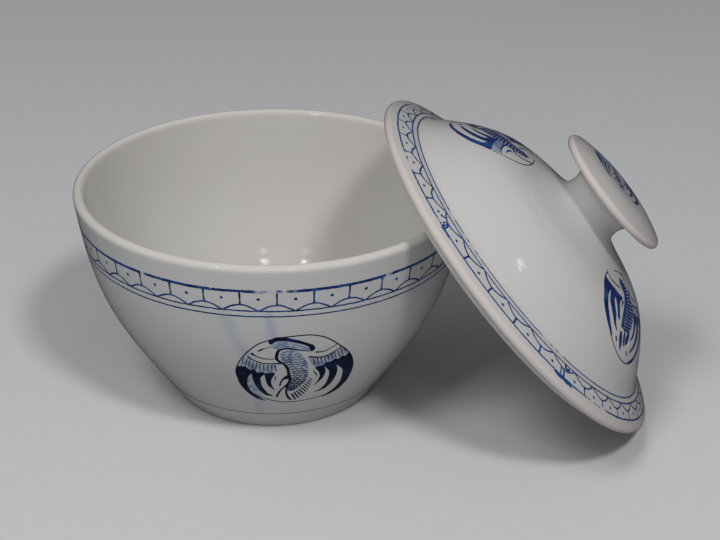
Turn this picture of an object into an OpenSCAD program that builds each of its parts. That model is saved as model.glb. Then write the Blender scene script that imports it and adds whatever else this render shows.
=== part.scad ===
// Donburi bowl with its lid: a thrown bowl on a turned foot, and a flanged lid
// with a knob, leaning on the rim of the bowl. Millimetres, +Z up, origin at
// the centre of the foot on the table. The lid leans towards +X.

/* [Bowl] */
// Outer diameter of the rim
rim_d = 150; // [130:1:180]
// Height from the table to the top of the lip
bowl_h = 85.6; // [70:1:105]
// Thickness of the rounded lip
lip_w = 4; // [3:0.1:5.5]
// Thickness of the wall near the foot
wall_base_t = 5.6; // [4.5:0.1:7]
// Thickness of the clay between the floor and the hollow of the foot
floor_t = 6; // [4:0.1:8]
// Angle of the wall above level where it leaves the foot
wall_base_angle = 55; // [48:1:65]
// Angle of the wall above level at the lip
wall_rim_angle = 82; // [78:1:86]

/* [Foot] */
// Diameter of the foot where it stands on the table
foot_d = 78.4; // [66:1:92]
// Diameter where the foot meets the wall
foot_top_d = 89.4; // [78:1:104]
// Height of the foot
foot_h = 8.6; // [6:0.2:12]
// Width of the bare ring that stands on the table
foot_ring_w = 5.5; // [4:0.5:9]
// Depth of the hollow inside the foot
foot_recess = 5; // [3:0.2:6]
// Rounding of the foot's lower edges
foot_round = 0.8; // [0.4:0.1:1.5]

/* [Lid] */
// Reach of the brim beyond the rim of the bowl
brim_over = 2; // [0.5:0.1:6]
// Width of the brim from its edge to the crease where the dome rises
brim_w = 12.3; // [9:0.1:16]
// Thickness of the brim at its rounded edge
brim_t = 3.6; // [2.8:0.1:5]
// Height of the crease above the underside of the brim
crease_h = 7.4; // [6:0.2:10]
// Height of the dome's top, where the knob stands, above the underside of the brim
dome_h = 33.8; // [28:1:42]
// Thickness of the dome
dome_t = 3.8; // [3:0.1:5]
// Fall of the dome below level beside the knob
dome_top_angle = 18; // [12:1:26]
// Fall of the dome below level at the crease
dome_foot_angle = 47; // [40:1:56]
// Depth of the flange that drops inside the bowl
flange_depth = 3; // [2:0.2:5]
// Thickness of the flange
flange_w = 3.5; // [2.5:0.1:5]
// Gap all round between the flange and the inside of the lip
flange_clear = 0.9; // [0.5:0.1:2]
// Rounding of the flange's lower edges
flange_round = 1; // [0.5:0.1:1.2]

/* [Knob] */
// Diameter of the knob
knob_d = 52; // [46:1:60]
// Thickness of the knob at its rounded edge
knob_edge_t = 3; // [2.4:0.1:4]
// Rise of the knob's crown above its edge
knob_crown = 2.7; // [1.5:0.1:4]
// Height of the middle of the knob's edge above the top of the dome
knob_reach = 13.3; // [11:0.1:17]
// Diameter of the stem at its foot
stem_foot_d = 34.4; // [31:0.2:38]
// Diameter of the stem at its narrowest
stem_d = 25.6; // [22:0.2:28]
// Height of the narrowest place above the top of the dome
stem_waist = 5; // [3.5:0.1:6.5]

/* [Leaning lid] */
// Tilt of the leaning lid from level
lean_angle = 48.5; // [44:0.5:56]
// Sideways distance of the lid's centre from the middle of the bowl
lean_offset = 14; // [6:0.5:18]
// Gap between the lip and the flange that leans on it
lean_clear = 0.15; // [0.1:0.05:0.4]

/* [Hidden] */

// Facets of the preview; a turned surface is round whatever this is
turn_steps = 96;
// Straight steps along one curve of a section
curve_steps = 14;
// Straight steps round one small rounded edge
edge_steps = 8;

// Reach of each curve's handles, as shares of the straight line between its ends
wall_base_share = 0.455;
wall_rim_share = 0.413;
floor_centre_share = 0.62;
floor_wall_share = 0.26;
dome_top_share = 0.4;
dome_foot_share = 0.62;
brim_share = 0.35;
throat_share = 0.4;
stem_share = 0.5;
neck_share = 0.45;
crown_share = 0.42;
// Where along the wall, from foot to lip, the floor's curve joins it
floor_join_share = 0.16;
// Fall of the brim below level at the crease and at its edge
brim_crease_angle = 14;
brim_edge_angle = 25;
// Rise of the knob's underside at its edge, and fall of its crown there
knob_under_angle = 6;
knob_crown_angle = 16.5;

rim_r = rim_d / 2;
lid_r = rim_r + brim_over;
foot_r = foot_d / 2;
foot_top_r = foot_top_d / 2;
dome_r = lid_r - brim_w;
knob_r = knob_d / 2;
stem_foot_r = stem_foot_d / 2;
stem_r = stem_d / 2;
lip_round = lip_w / 2;
brim_round = brim_t / 2;
knob_round = knob_edge_t / 2;
floor_h = foot_recess + floor_t;
flange_outer_r = rim_r - lip_w - flange_clear;
flange_inner_r = flange_outer_r - flange_w;
knob_h = dome_h + knob_reach;

// Direction of an angle, as [out from the axis, up]
function way(angle) = [cos(angle), sin(angle)];

// The left-hand side of a direction
function left(v) = [-v[1], v[0]];

function unit(v) = v / norm(v);

function mix(a, b, share) = a + (b - a) * share;

// Point at share t of the curve that leaves p0 along angle a0 and reaches p3 along a3
function bend(p0, a0, s0, p3, a3, s3, t) =
    let (chord = norm(p3 - p0),
         p1 = p0 + way(a0) * s0 * chord,
         p2 = p3 - way(a3) * s3 * chord,
         u = 1 - t)
    u * u * u * p0 + 3 * u * u * t * p1 + 3 * u * t * t * p2 + t * t * t * p3;

// Direction of travel along the same curve at share t
function bend_way(p0, a0, s0, p3, a3, s3, t) =
    let (chord = norm(p3 - p0),
         p1 = p0 + way(a0) * s0 * chord,
         p2 = p3 - way(a3) * s3 * chord,
         u = 1 - t)
    unit(u * u * (p1 - p0) + 2 * u * t * (p2 - p1) + t * t * (p3 - p2));

// Points of the curve after its first one, so that runs can be joined end to end
function bend_run(p0, a0, s0, p3, a3, s3) =
    [for (i = [1 : curve_steps]) bend(p0, a0, s0, p3, a3, s3, i / curve_steps)];

// Points round a rounded edge, both ends included
function edge_run(centre, r, from, to) =
    [for (i = [0 : edge_steps]) centre + way(mix(from, to, i / edge_steps)) * r];

function reversed(list) = [for (i = [len(list) - 1 : -1 : 0]) list[i]];

// Centre of the lip's rounding, and the two ends of the wall's outer curve
lip_centre = [rim_r - lip_round, bowl_h - lip_round];
wall_foot = [foot_top_r, foot_h];
wall_rim = lip_centre - left(way(wall_rim_angle)) * lip_round;

// Outside of the wall, and its inside, which stands off it by the wall's thickness
function wall_out(t) =
    bend(wall_foot, wall_base_angle, wall_base_share, wall_rim, wall_rim_angle, wall_rim_share, t);
function wall_way(t) =
    bend_way(wall_foot, wall_base_angle, wall_base_share, wall_rim, wall_rim_angle, wall_rim_share, t);
function wall_in(t) = wall_out(t) + left(wall_way(t)) * mix(wall_base_t, lip_w, t);

// Half section of the bowl: hollow of the foot, foot, wall, lip, inside and floor
function bowl_section() =
    let (ring_in = foot_r - foot_ring_w,
         outer_toe = [foot_r - foot_round, foot_round],
         inner_toe = [ring_in + foot_round, foot_round],
         toe_angle = atan2(foot_h, foot_top_r - foot_r) - 90,
         join = wall_in(floor_join_share),
         join_way = wall_way(floor_join_share),
         join_angle = atan2(join_way[1], join_way[0]),
         floor_mid = [0, floor_h])
    concat(
        [[0, foot_recess], [ring_in - foot_recess + foot_round, foot_recess]],
        edge_run(inner_toe, foot_round, 180, 270),
        edge_run(outer_toe, foot_round, -90, toe_angle),
        [for (i = [0 : curve_steps]) wall_out(i / curve_steps)],
        edge_run(lip_centre, lip_round, wall_rim_angle - 90, wall_rim_angle + 90),
        [for (i = [curve_steps - 1 : -1 : 1]) wall_in(mix(floor_join_share, 1, i / curve_steps))],
        reversed(concat(
            [floor_mid],
            bend_run(floor_mid, 0, floor_centre_share, join, join_angle, floor_wall_share))));

// Ends of the dome's outer curve, and the centre of the brim's rounded edge
dome_top = [stem_foot_r, dome_h];
dome_foot = [dome_r, crease_h];
brim_centre = [lid_r - brim_round, brim_round];

// Outside of the dome from the knob down, and its inside
function dome_out(t) =
    bend(dome_top, -dome_top_angle, dome_top_share, dome_foot, -dome_foot_angle, dome_foot_share, t);
function dome_way(t) =
    bend_way(dome_top, -dome_top_angle, dome_top_share, dome_foot, -dome_foot_angle, dome_foot_share, t);
function dome_in(t) = dome_out(t) - left(dome_way(t)) * dome_t;

// Half section of the lid: ceiling, inside of the dome, flange, brim and dome
function lid_section() =
    let (ceiling = dome_in(0),
         throat = dome_in(1),
         flange_top = [flange_inner_r, 0],
         flange_toe_r = flange_inner_r + flange_round,
         flange_heel_r = flange_outer_r - flange_round,
         flange_low = flange_round - flange_depth,
         brim_top = brim_centre + way(90 - brim_edge_angle) * brim_round)
    concat(
        [[0, ceiling[1]]],
        [for (i = [0 : curve_steps]) dome_in(i / curve_steps)],
        bend_run(throat, -dome_foot_angle, throat_share, flange_top, -90, throat_share),
        edge_run([flange_toe_r, flange_low], flange_round, 180, 270),
        edge_run([flange_heel_r, flange_low], flange_round, -90, 0),
        [[flange_outer_r, 0]],
        edge_run(brim_centre, brim_round, -90, 90 - brim_edge_angle),
        bend_run(brim_top, 180 - brim_edge_angle, brim_share,
                 dome_foot, 180 - brim_crease_angle, brim_share),
        [for (i = [curve_steps - 1 : -1 : 0]) dome_out(i / curve_steps)],
        [[0, dome_h]]);

// Half section of the knob: stem, underside, rounded edge and crown
function knob_section() =
    let (edge_centre = [knob_r - knob_round, knob_h],
         waist = [stem_r, dome_h + stem_waist],
         under = edge_centre + way(knob_under_angle - 90) * knob_round,
         over = edge_centre + way(90 - knob_crown_angle) * knob_round,
         top = [0, knob_h + knob_round + knob_crown])
    concat(
        [[0, dome_h], dome_top],
        bend_run(dome_top, 180 - dome_top_angle, stem_share, waist, 90, stem_share),
        bend_run(waist, 90, neck_share, under, knob_under_angle, neck_share),
        edge_run(edge_centre, knob_round, knob_under_angle - 90, 90 - knob_crown_angle),
        bend_run(over, 180 - knob_crown_angle, crown_share, top, 180, crown_share));

// The lid leans with the lowest point of its brim on the table
lean_z = brim_round + (lid_r - brim_round) * sin(lean_angle) - brim_round * cos(lean_angle);

// In the plane of the flange's lower edge, the lip crosses the flange at one place
// on each side. The lid is moved out until the further of them is just clear.
lip_gap = lip_round + lean_clear + flange_depth;
lip_rise = lip_centre[1] - lean_z;
lip_out = (-lip_gap - lip_rise * cos(lean_angle)) / sin(lean_angle);
lip_climb = lip_rise * sin(lean_angle) - lip_out * cos(lean_angle);
lip_half = sqrt(flange_inner_r * flange_inner_r - lip_climb * lip_climb);
lip_side = lip_half - lean_offset;
lean_x = sqrt(lip_centre[0] * lip_centre[0] - lip_side * lip_side) - lip_out;

// Puts a piece that is drawn on the lid's own axis where the lid leans
module leaning() {
    translate([lean_x, -lean_offset, lean_z])
        rotate([0, lean_angle, 0])
            children();
}

// Bowl, thrown and turned from one lump of clay
module bowl() {
    color("#d9d6d0")
        rotate_extrude($fn = turn_steps)
            polygon(bowl_section());
}

// Lid with its brim and flange
module lid() {
    color("#dcd9d4")
        leaning()
            rotate_extrude($fn = turn_steps)
                polygon(lid_section());
}

// Knob with its stem, seated on the flat top of the dome
module knob() {
    color("#e0ddd8")
        leaning()
            rotate_extrude($fn = turn_steps)
                polygon(knob_section());
}

bowl();
lid();
knob();
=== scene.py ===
"""Donburi bowl with its lid leaning on the rim: glazed stoneware with printed and painted cobalt blue."""

import math
import random
from bisect import bisect_right
from itertools import accumulate

import bmesh
import bpy
from mathutils import Euler, Matrix, Quaternion, Vector
from mathutils.geometry import convex_hull_2d, delaunay_2d_cdt


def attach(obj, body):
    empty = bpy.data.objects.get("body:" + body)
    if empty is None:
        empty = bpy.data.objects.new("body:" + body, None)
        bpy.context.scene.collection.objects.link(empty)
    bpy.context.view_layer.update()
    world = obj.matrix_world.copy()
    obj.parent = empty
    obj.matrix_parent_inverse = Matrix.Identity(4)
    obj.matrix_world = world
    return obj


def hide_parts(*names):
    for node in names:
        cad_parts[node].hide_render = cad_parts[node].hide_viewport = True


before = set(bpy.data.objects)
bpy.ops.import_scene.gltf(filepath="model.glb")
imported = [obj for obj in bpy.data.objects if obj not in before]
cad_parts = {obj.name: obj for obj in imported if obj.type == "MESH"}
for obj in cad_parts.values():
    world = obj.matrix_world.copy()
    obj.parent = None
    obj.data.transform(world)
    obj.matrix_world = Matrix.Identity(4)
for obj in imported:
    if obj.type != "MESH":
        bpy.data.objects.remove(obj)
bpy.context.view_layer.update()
MM = 0.001


# Node trees


class Value:
    """One output of a node. Arithmetic on it adds Math nodes."""

    def __init__(self, graph, socket):
        self.graph = graph
        self.socket = socket

    def math(self, operation, *rest):
        return self.graph.math(operation, self, *rest)

    def __add__(self, other):
        return self.math("ADD", other)

    def __sub__(self, other):
        return self.math("SUBTRACT", other)

    def __rsub__(self, other):
        return self.graph.math("SUBTRACT", other, self)

    def __mul__(self, other):
        return self.math("MULTIPLY", other)

    def __truediv__(self, other):
        return self.math("DIVIDE", other)

    __radd__ = __add__

    def smooth(self, low, high):
        """0 at low, 1 at high, with an eased step between; low may be the larger."""
        sockets = {0: self, 1: low, 2: high, 3: 0.0, 4: 1.0}
        return self.graph.add("ShaderNodeMapRange", sockets, interpolation_type="SMOOTHSTEP")

    def band(self, low, high, soft):
        """1 between low and high, fading to 0 over soft on either side of each."""
        return self.smooth(low - soft, low + soft) * self.smooth(high + soft, high - soft)


class Graph:
    """Adds nodes to a tree: a node's type, its sockets' values or links, then its settings."""

    def __init__(self, tree):
        self.tree = tree

    def add(self, kind, sockets=None, out=0, **settings):
        node = self.tree.nodes.new(kind)
        for name, value in settings.items():
            setattr(node, name, value)
        for key, value in (sockets or {}).items():
            if isinstance(value, Value):
                self.tree.links.new(value.socket, node.inputs[key])
            else:
                node.inputs[key].default_value = value
        return Value(self, node.outputs[out])

    def output(self, kind, socket, value):
        self.tree.links.new(value.socket, self.tree.nodes.new(kind).inputs[socket])

    def other(self, value, out):
        """Another output of the node that value comes from."""
        return Value(self, value.socket.node.outputs[out])

    def math(self, operation, *numbers):
        return self.add("ShaderNodeMath", dict(enumerate(numbers)), operation=operation)

    def split(self, vector):
        x = self.add("ShaderNodeSeparateXYZ", {0: vector})
        return x, self.other(x, 1), self.other(x, 2)

    def join(self, x, y, z):
        return self.add("ShaderNodeCombineXYZ", {0: x, 1: y, 2: z})

    def polar(self, r, turn, z):
        return self.join(r * turn.math("COSINE"), r * turn.math("SINE"), z)

    def blend(self, factor, a, b):
        """Colour a where factor is 0, b where it is 1."""
        return self.add("ShaderNodeMix", {0: factor, 6: a, 7: b}, 2, data_type="RGBA")

    def noise(self, vector, scale, detail=2.0, rough=0.5, out=0):
        sockets = {"Vector": vector, "Scale": scale, "Detail": detail, "Roughness": rough}
        return self.add("ShaderNodeTexNoise", sockets, out)

    def spots(self, vector, scale, randomness=1.0):
        """Distance to the nearest of many scattered points."""
        sockets = {"Vector": vector, "Scale": scale, "Randomness": randomness}
        return self.add("ShaderNodeTexVoronoi", sockets)

    def shape(self, kind, shape, **sockets):
        """A geometry node that works on a shape."""
        return self.add("GeometryNode" + kind, {"Geometry": shape, **sockets})


# Turned shapes
# The same sizes as the part's source, in metres, and the same curves.

RIM_R, BOWL_H, LIP_W, WALL_BASE_T = 75 * MM, 85.6 * MM, 4 * MM, 5.6 * MM
FOOT_R, FOOT_TOP_R, FOOT_H = 39.2 * MM, 44.7 * MM, 8.6 * MM
RING_W, RECESS, FLOOR_T, FOOT_ROUND = 5.5 * MM, 5 * MM, 6 * MM, 0.8 * MM
LID_R, BRIM_T, CREASE_R, CREASE_H = 77 * MM, 3.6 * MM, 64.7 * MM, 7.4 * MM
DOME_H, DOME_T = 33.8 * MM, 3.8 * MM
FLANGE_DEPTH, FLANGE_W, FLANGE_CLEAR, FLANGE_ROUND = 3 * MM, 3.5 * MM, 0.9 * MM, 1 * MM
KNOB_R, KNOB_T, KNOB_CROWN, KNOB_REACH = 26 * MM, 3 * MM, 2.7 * MM, 13.3 * MM
STEM_FOOT_R, STEM_R, STEM_WAIST = 17.2 * MM, 12.8 * MM, 5 * MM
LEAN, LEAN_SIDE, LEAN_CLEAR = 48.5, 14 * MM, 0.15 * MM

# The wall's and the dome's own angles where they end, and the turns on the round edges of the brim and
# the knob where the next curve takes over, in degrees.
WALL_END, DOME_END, BRIM_TOP, KNOB_TOP, KNOB_UNDER = 82, -47, 65, 73.5, -84
# The floor's curve meets the inside of the wall at this share of the wall's run.
FLOOR_JOIN = 0.16
# Extra points this close to the joint of dome and knob keep the shading there crisp.
CORNER, DOME_CORNER, STEM_CORNER = 0.05 * MM, 0.001, 0.006
STEPS, BODY_TURN_STEPS, KNOB_TURN_STEPS = 44, 192, 128


def way(degrees):
    return Vector((math.cos(math.radians(degrees)), math.sin(math.radians(degrees))))


def bearing(v):
    return math.degrees(math.atan2(v.y, v.x))


def left(v):
    return Vector((-v.y, v.x))


class Bend:
    """A curve that leaves p0 along angle a0 and reaches p3 along a3, with handles of s0 and s3 chords."""

    def __init__(self, p0, a0, s0, p3, a3, s3):
        p0, p3 = Vector(p0), Vector(p3)
        chord = (p3 - p0).length
        self.points = (p0, p0 + way(a0) * s0 * chord, p3 - way(a3) * s3 * chord, p3)

    def at(self, t):
        a, b, c, d = self.points
        u = 1 - t
        return a * u**3 + b * (3 * u * u * t) + c * (3 * u * t * t) + d * t**3

    def way(self, t):
        a, b, c, d = self.points
        u = 1 - t
        return ((b - a) * u * u + (c - b) * (2 * u * t) + (d - c) * t * t).normalized()

    def run(self, steps):
        return [self.at(i / steps) for i in range(1, steps + 1)]


def edge_run(centre, r, start, stop, steps):
    return [Vector(centre) + way(start + (stop - start) * i / steps) * r for i in range(steps + 1)]


def line_run(a, b, steps):
    a, b = Vector(a), Vector(b)
    return [a.lerp(b, i / steps) for i in range(steps)]


LIP_CENTRE = Vector((RIM_R - LIP_W / 2, BOWL_H - LIP_W / 2))
WALL = Bend(
    (FOOT_TOP_R, FOOT_H), 55, 0.455, LIP_CENTRE - left(way(WALL_END)) * (LIP_W / 2), WALL_END, 0.413
)
DOME = Bend((STEM_FOOT_R, DOME_H), -18, 0.4, (CREASE_R, CREASE_H), DOME_END, 0.62)
BRIM_CENTRE = Vector((LID_R - BRIM_T / 2, BRIM_T / 2))
BRIM = Bend(
    BRIM_CENTRE + way(BRIM_TOP) * (BRIM_T / 2), BRIM_TOP + 90, 0.35, (CREASE_R, CREASE_H), 166, 0.35
)
KNOB_EDGE = Vector((KNOB_R - KNOB_T / 2, DOME_H + KNOB_REACH))
CROWN = Bend(
    KNOB_EDGE + way(KNOB_TOP) * (KNOB_T / 2), KNOB_TOP + 90, 0.42,
    (0, DOME_H + KNOB_REACH + KNOB_T / 2 + KNOB_CROWN), 180, 0.42
)


def wall_in(t):
    thick = WALL_BASE_T + (LIP_W - WALL_BASE_T) * t
    return WALL.at(t) + left(WALL.way(t)) * thick


def bowl_section():
    ring_in = FOOT_R - RING_W
    hollow = ring_in - RECESS + FOOT_ROUND
    side = bearing(Vector((FOOT_TOP_R - FOOT_R, FOOT_H))) - 90
    foot = edge_run((FOOT_R - FOOT_ROUND, FOOT_ROUND), FOOT_ROUND, -90, side, 6)
    middle = Vector((0, RECESS + FLOOR_T))
    floor = Bend(middle, 0, 0.62, wall_in(FLOOR_JOIN), bearing(WALL.way(FLOOR_JOIN)), 0.26)
    return (
        line_run((0, RECESS), (hollow, RECESS), 12)
        + line_run((hollow, RECESS), (ring_in, FOOT_ROUND), 4)
        + edge_run((ring_in + FOOT_ROUND, FOOT_ROUND), FOOT_ROUND, 180, 270, 6)
        + foot[:-1]
        + line_run(foot[-1], WALL.at(0), 8)
        + [WALL.at(i / 60) for i in range(60)]
        + edge_run(LIP_CENTRE, LIP_W / 2, WALL_END - 90, WALL_END + 90, 16)
        + [wall_in(FLOOR_JOIN + (1 - FLOOR_JOIN) * i / STEPS) for i in range(STEPS - 1, 0, -1)]
        + list(reversed([middle] + floor.run(36)))
    )


def dome_in(t):
    return DOME.at(t) - left(DOME.way(t)) * DOME_T


def lid_section():
    outer = RIM_R - LIP_W - FLANGE_CLEAR
    inner = outer - FLANGE_W
    low = FLANGE_ROUND - FLANGE_DEPTH
    ceiling = dome_in(0)
    throat = Bend(dome_in(1), DOME_END, 0.4, (inner, 0), -90, 0.4)
    return (
        line_run((0, ceiling.y), ceiling, 8)
        + [dome_in(i / STEPS) for i in range(STEPS + 1)]
        + throat.run(10)
        + edge_run((inner + FLANGE_ROUND, low), FLANGE_ROUND, 180, 270, 6)
        + edge_run((outer - FLANGE_ROUND, low), FLANGE_ROUND, -90, 0, 6)
        + line_run((outer, 0), BRIM_CENTRE - Vector((0, BRIM_T / 2)), 4)
        + edge_run(BRIM_CENTRE, BRIM_T / 2, -90, BRIM_TOP, 14)
        + BRIM.run(20)
        + [DOME.at(i / STEPS) for i in range(STEPS - 1, 0, -1)]
        + [DOME.at(DOME_CORNER), DOME.at(0)]
        + line_run((STEM_FOOT_R - CORNER, DOME_H), (0, DOME_H), 6)
        + [Vector((0, DOME_H))]
    )


def knob_section():
    corner = Vector((STEM_FOOT_R - CORNER, DOME_H))
    waist = Vector((STEM_R, DOME_H + STEM_WAIST))
    under = KNOB_EDGE + way(KNOB_UNDER) * (KNOB_T / 2)
    foot = Bend((STEM_FOOT_R, DOME_H), 162, 0.5, waist, 90, 0.5)
    return (
        line_run((0, DOME_H), corner, 6)
        + [corner, foot.at(0), foot.at(STEM_CORNER)]
        + foot.run(14)
        + Bend(waist, 90, 0.45, under, KNOB_UNDER + 90, 0.45).run(24)
        + edge_run(KNOB_EDGE, KNOB_T / 2, KNOB_UNDER, KNOB_TOP, 14)[1:]
        + CROWN.run(28)
    )


def lean_place():
    """Where the lid stands: its brim on the table and its flange just clear of the lip."""
    s, c = math.sin(math.radians(LEAN)), math.cos(math.radians(LEAN))
    z = BRIM_T / 2 + (LID_R - BRIM_T / 2) * s - BRIM_T / 2 * c
    gap = LIP_W / 2 + LEAN_CLEAR + FLANGE_DEPTH
    rise = LIP_CENTRE.y - z
    out = (-gap - rise * c) / s
    climb = rise * s - out * c
    inner = RIM_R - LIP_W - FLANGE_CLEAR - FLANGE_W
    side = math.sqrt(inner**2 - climb**2) - LEAN_SIDE
    return Vector((math.sqrt(LIP_CENTRE.x**2 - side**2) - out, -LEAN_SIDE, z))


PLACE = lean_place()
TILT = Euler((0, math.radians(LEAN), 0))
LEANING = Matrix.Translation(PLACE) @ TILT.to_matrix().to_4x4()
LEANING_INPUTS = {"Place": tuple(PLACE), "Tilt": tuple(TILT)}
UPRIGHT = Matrix.Identity(4)


def linked(name, data):
    obj = bpy.data.objects.new(name, data)
    bpy.context.collection.objects.link(obj)
    return obj


def new_object(name, points, faces=()):
    mesh = bpy.data.meshes.new(name)
    mesh.from_pydata([tuple(p) for p in points], (), faces)
    return linked(name, mesh)


def geometry_tree(name, inputs):
    """A new geometry tree: its graph, the values of its inputs and their socket identifiers by name."""
    tree = bpy.data.node_groups.new(name, "GeometryNodeTree")
    ids = {}
    for label, kind, default in inputs:
        socket = tree.interface.new_socket(name=label, in_out="INPUT", socket_type="NodeSocket" + kind)
        if default is not None:
            socket.default_value = default
        ids[label] = socket.identifier
    tree.interface.new_socket(name="Piece", in_out="OUTPUT", socket_type="NodeSocketGeometry")
    g = Graph(tree)
    given = tree.nodes.new("NodeGroupInput").outputs
    return g, [Value(g, given[i]) for i in range(len(inputs))], ids


def point_of(g, shape, index):
    """The three numbers of one point's place in shape."""
    sockets = {"Geometry": shape, "Value": g.add("GeometryNodeInputPosition"), "Index": index}
    return g.split(g.add("GeometryNodeSampleIndex", sockets, data_type="FLOAT_VECTOR"))


def end_tree(g, shape, place, tilt, surface):
    """Stands the shape in its place and gives it its material."""
    real = g.shape("RealizeInstances", g.shape("Transform", shape, Translation=place, Rotation=tilt))
    g.output("NodeGroupOutput", 0, g.shape("SetMaterial", real, Material=surface))


def turned_tree():
    """Turns a row of section points about the Z axis, then stands the result in its place."""
    g, given, ids = geometry_tree("turned_clay", (
        ("Section", "Geometry", None),
        ("Turn steps", "Int", 180),
        ("Place", "Vector", (0, 0, 0)),
        ("Tilt", "Vector", (0, 0, 0)),
        ("Glaze", "Material", None),
    ))
    section, steps, place, tilt, glaze = given
    count = g.shape("AttributeDomainSize", section)
    grid_size = {"Size X": 1.0, "Size Y": 1.0, "Vertices X": count, "Vertices Y": steps + 1}
    grid = g.add("GeometryNodeMeshGrid", grid_size)
    along, round_share, _ = g.split(g.add("GeometryNodeInputPosition"))
    radius, _, height = point_of(g, section, ((along + 0.5) * (count - 1)).math("ROUND"))
    spots = g.polar(radius, (round_share + 0.5) * (2 * math.pi), height)
    closed = g.shape("MergeByDistance", g.shape("SetPosition", grid, Position=spots), Distance=0.004 * MM)
    end_tree(g, g.shape("SetShadeSmooth", closed), place, tilt, glaze)
    return g.tree, ids


def made_by_tree(source, tree_and_ids, inputs):
    """Runs a geometry tree on source, and returns what it makes as an object with a plain mesh."""
    tree, ids = tree_and_ids
    modifier = source.modifiers.new("made", "NODES")
    modifier.node_group = tree
    for name, value in inputs.items():
        modifier[ids[name]] = value
    seen = source.evaluated_get(bpy.context.evaluated_depsgraph_get())
    mesh = bpy.data.meshes.new_from_object(seen)
    name = source.name
    bpy.data.objects.remove(source)
    mesh.name = name
    return linked(name, mesh)


def face_outwards(obj):
    shape = bmesh.new()
    shape.from_mesh(obj.data)
    if shape.calc_volume(signed=True) < 0:
        bmesh.ops.reverse_faces(shape, faces=shape.faces)
    shape.to_mesh(obj.data)
    shape.free()


TURNED = turned_tree()


def turned_piece(name, section, leaning, glaze, steps):
    source = new_object(name, [(p.x, 0, p.y) for p in section])
    inputs = {"Turn steps": steps, "Glaze": glaze, **(LEANING_INPUTS if leaning else {})}
    obj = made_by_tree(source, TURNED, inputs)
    face_outwards(obj)
    return obj


# Surfaces that carry decoration


def lengths_along(points):
    return [0.0, *accumulate((b - a).length for a, b in zip(points, points[1:]))]


def between(points, lengths, length):
    """The point at this length along a run, and the number of the run's step that holds it."""
    step = min(max(bisect_right(lengths, length) - 1, 0), len(points) - 2)
    share = (length - lengths[step]) / max(lengths[step + 1] - lengths[step], 1e-12)
    return points[step].lerp(points[step + 1], share), step


class Skin:
    """The outer face of a turned piece, addressed by turn angle and by length along its section."""

    def __init__(self, section, place, side):
        self.place = place
        self.side = side
        self.points = section
        self.lengths = lengths_along(section)

    def at_length(self, length):
        """The section's point at this length, and the way out of the clay there."""
        point, step = between(self.points, self.lengths, length)
        before = self.points[max(step - 1, 0)]
        after = self.points[min(step + 2, len(self.points) - 1)]
        return point, left((after - before).normalized()) * -self.side

    def length_to(self, axis, reach):
        """Length to the section's first point whose radius (axis 0) or height (axis 1) comes to reach."""
        return next(length for length, point in zip(self.lengths, self.points) if point[axis] >= reach)

    def at(self, turn, length, lift):
        point, out = self.at_length(length)
        c, s = math.cos(turn), math.sin(turn)
        r, z = point.x + out.x * lift, point.y + out.y * lift
        spot = self.place @ Vector((r * c, r * s, z))
        normal = self.place.to_3x3() @ Vector((out.x * c, out.x * s, out.y))
        return spot, normal.normalized()


WALL_SKIN = Skin([WALL.at(i / 400) for i in range(401)], UPRIGHT, 1)
LID_SKIN = Skin(
    [DOME.at(i / 300) for i in range(301)] + [BRIM.at(1 - i / 100) for i in range(1, 101)], LEANING, -1
)
CROWN_SKIN = Skin([CROWN.at(1 - i / 100) for i in range(101)], LEANING, -1)


# Glaze, ink and bare clay


def srgb(*levels):
    """A colour as linear light, from levels of 0 to 255."""
    shares = [level / 255 for level in levels]
    return (*(c / 12.92 if c <= 0.04045 else ((c + 0.055) / 1.055) ** 2.4 for c in shares), 1.0)


GLAZE_OUT = srgb(195, 195, 195)
GLAZE_IN = srgb(202, 200, 196)
GLAZE_LIP = srgb(208, 204, 198)
GLAZE_PINK = srgb(207, 194, 190)
GLAZE_LID = srgb(198, 197, 195)
BARE_CLAY = srgb(178, 160, 138)
SPECK = srgb(120, 104, 88)
PALE_RUN = srgb(124, 146, 178)
STIPPLE = srgb(150, 162, 182)
NAVY = srgb(5, 14, 42)
NAVY_THIN = srgb(14, 40, 88)
COBALT_DARK = srgb(10, 34, 84)
COBALT = srgb(30, 72, 132)
COBALT_LID = srgb(8, 36, 98)
WASH = srgb(116, 134, 168)
WASH_PALE = srgb(176, 183, 192)

GLAZE_ROUGH, GLAZE_ROUGH_SPREAD, GLAZE_COAT, COAT_ROUGH, GLAZE_IOR = 0.07, 0.05, 0.3, 0.04, 1.5
BARE_DULLER, FOOT_DULLER = 0.5, 0.2
RING_BUMP, WAVE_BUMP, GRAIN_BUMP = 0.08 * MM, 0.1 * MM, 0.004 * MM
RINGS_PER_METRE, RING_DRIFT_PER_DEGREE = 260, 0.004
CLOUD_AMOUNT, SPECK_AMOUNT, STIPPLE_AMOUNT = 0.16, 0.12, 0.42


def material(name):
    made = bpy.data.materials.new(name)
    made.use_nodes = True
    made.node_tree.nodes.clear()
    return made, Graph(made.node_tree)


class Round:
    """Object coordinates on the piece's own axis: turn in degrees, distance from the axis and height."""

    def __init__(self, g, leaning):
        self.spot = g.add("ShaderNodeTexCoord", out=3)
        if leaning:
            sockets = {"Vector": self.spot, "Location": tuple(PLACE), "Rotation": tuple(TILT)}
            self.spot = g.add("ShaderNodeMapping", sockets, vector_type="TEXTURE")
        x, y, self.z = g.split(self.spot)
        self.r = (x * x + y * y).math("SQRT")
        self.turn = y.math("ARCTAN2", x) * (180 / math.pi)


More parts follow.
